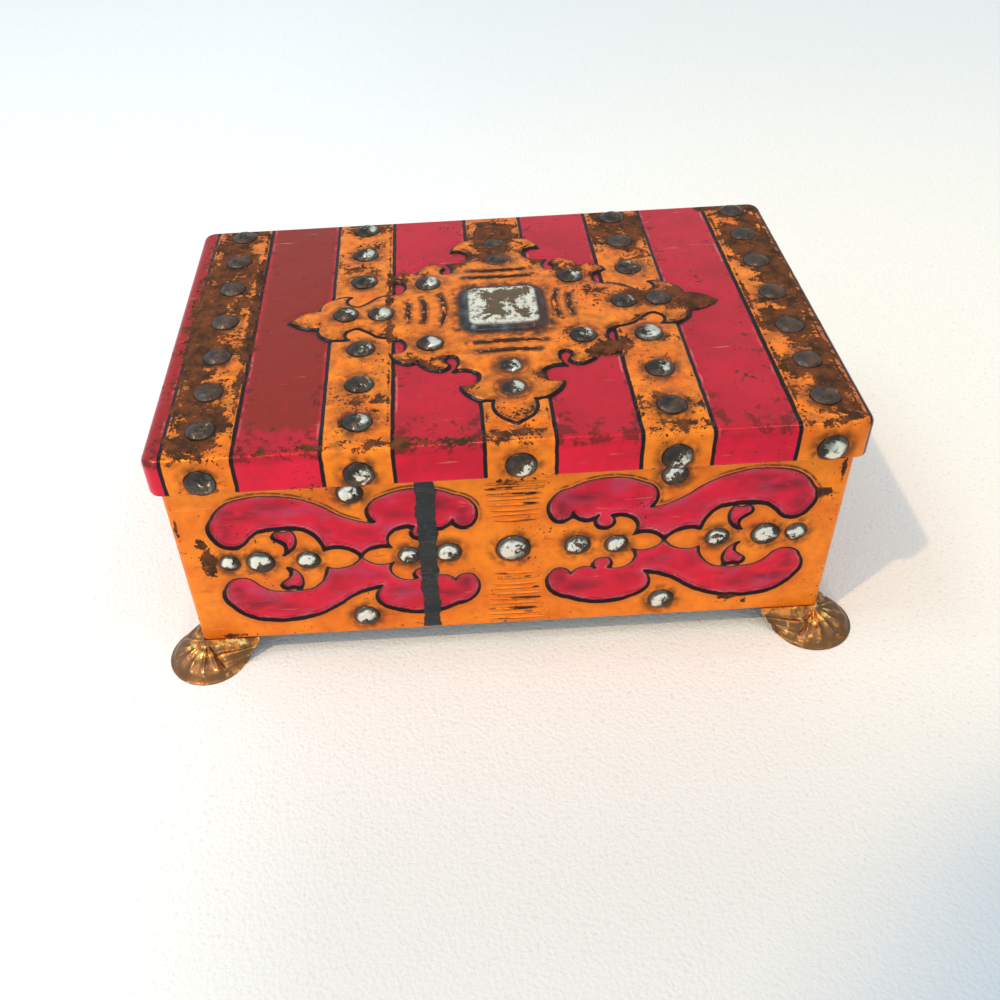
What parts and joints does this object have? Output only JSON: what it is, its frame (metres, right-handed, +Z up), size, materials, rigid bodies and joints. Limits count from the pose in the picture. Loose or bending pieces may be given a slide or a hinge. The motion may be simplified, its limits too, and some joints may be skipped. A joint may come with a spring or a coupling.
{
  "type": "tin jewelry box",
  "caption": "Embossed tinplate jewelry box with a strap-pattern lid hinged at the back, scroll-worked walls and fluted corner feet.",
  "frame": {"origin": "middle of the footprint, on the surface that the feet stand on", "axes": "+X to the right along the long front, +Y from the front to the hinged back, +Z up"},
  "size_m": [0.1968, 0.136, 0.0771],
  "materials": {
    "lid_print": "printed gloss, crimson and orange, rubbed through to the tin in places",
    "body_print": "printed gloss, orange with crimson fields",
    "plain_tinplate": "dull tin plating",
    "pin_wire": "drawn wire",
    "gold_lacquer": "gold lacquer, browned and rubbed",
    "black_strip": "satin"
  },
  "bodies": {
    "box": {"body_wall": "body_print", "bottom_panel": "plain_tinplate", "foot_front_left": "gold_lacquer", "foot_front_right": "gold_lacquer", "foot_back_left": "gold_lacquer", "foot_back_right": "gold_lacquer", "hinge_strap_left": "plain_tinplate", "hinge_strap_right": "plain_tinplate", "hinge_pin_left": "pin_wire", "hinge_pin_right": "pin_wire", "tape_strip": "black_strip"},
    "lid": {"lid": "lid_print"}
  },
  "joints": [
    {"name": "lid_hinge", "type": "hinge", "parent": "box", "child": "lid", "pos_m": [0, 0.05855, 0.0643], "axis": [-1, 0, 0], "range_deg": [0, 105]}
  ]
}
